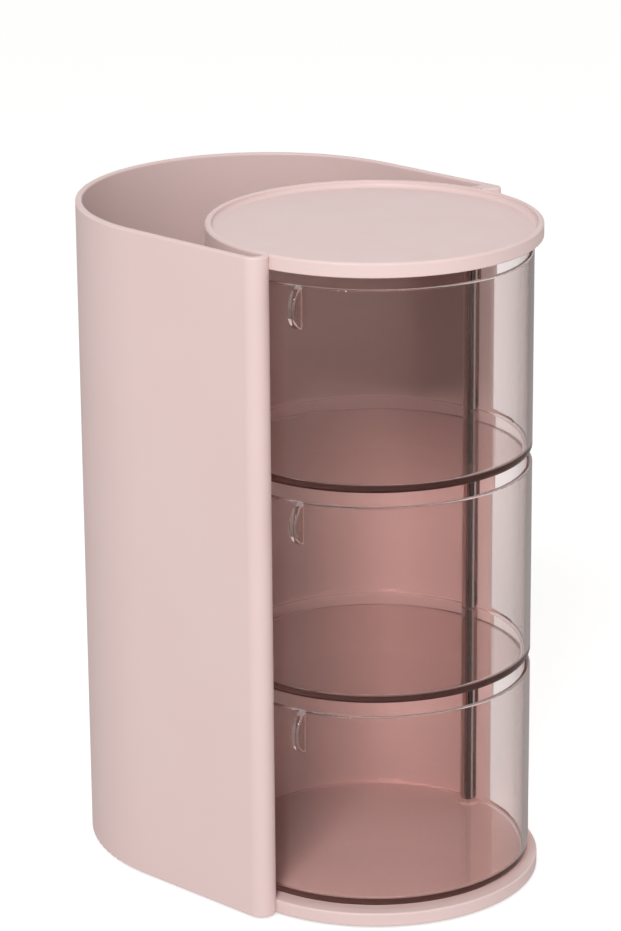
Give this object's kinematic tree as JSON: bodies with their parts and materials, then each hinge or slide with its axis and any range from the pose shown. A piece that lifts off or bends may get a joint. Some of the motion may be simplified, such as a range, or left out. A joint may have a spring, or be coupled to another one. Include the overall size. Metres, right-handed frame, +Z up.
{
  "type": "rotating makeup organizer",
  "caption": "Blush-pink cosmetics organizer with an open brush well behind and clear round drawers in front that swing out on an upright axle.",
  "frame": {"origin": "centre of the bounding box's base, on the surface it stands on", "axes": "+Z up; +Y towards the brush well at the back; -Y towards the drawers' front; +X towards the hinge axle"},
  "size_m": [0.0996, 0.134, 0.1812],
  "materials": {
    "body_plastic": "satin moulded ABS, blush pink",
    "clear_plastic": "polished clear acrylic with a smoky champagne tint",
    "axle_steel": "blackened steel rod",
    "screw_steel": "zinc-plated steel",
    "foot_rubber": "soft translucent rubber"
  },
  "bodies": {
    "frame": {"body_shell": "body_plastic", "top_plate": "body_plastic", "base_plate": "body_plastic", "hinge_axle": "axle_steel", "base_screws": "screw_steel", "foot_front_left": "foot_rubber", "foot_front_right": "foot_rubber", "foot_rear_left": "foot_rubber", "foot_rear_right": "foot_rubber"},
    "top_drawer": {"drawer_top": "clear_plastic"},
    "middle_drawer": {"drawer_middle": "clear_plastic"},
    "bottom_drawer": {"drawer_bottom": "clear_plastic"}
  },
  "joints": [
    {"name": "drawer_bottom_swing", "type": "hinge", "parent": "frame", "child": "bottom_drawer", "pos_m": [0.0393, -0.02305, 0.00565], "axis": [0, 0, 1], "range_deg": [0, 65]},
    {"name": "drawer_middle_swing", "type": "hinge", "parent": "frame", "child": "middle_drawer", "pos_m": [0.0393, -0.02305, 0.06283], "axis": [0, 0, 1], "range_deg": [0, 65]},
    {"name": "drawer_top_swing", "type": "hinge", "parent": "frame", "child": "top_drawer", "pos_m": [0.0393, -0.02305, 0.12002], "axis": [0, 0, 1], "range_deg": [0, 65]}
  ]
}
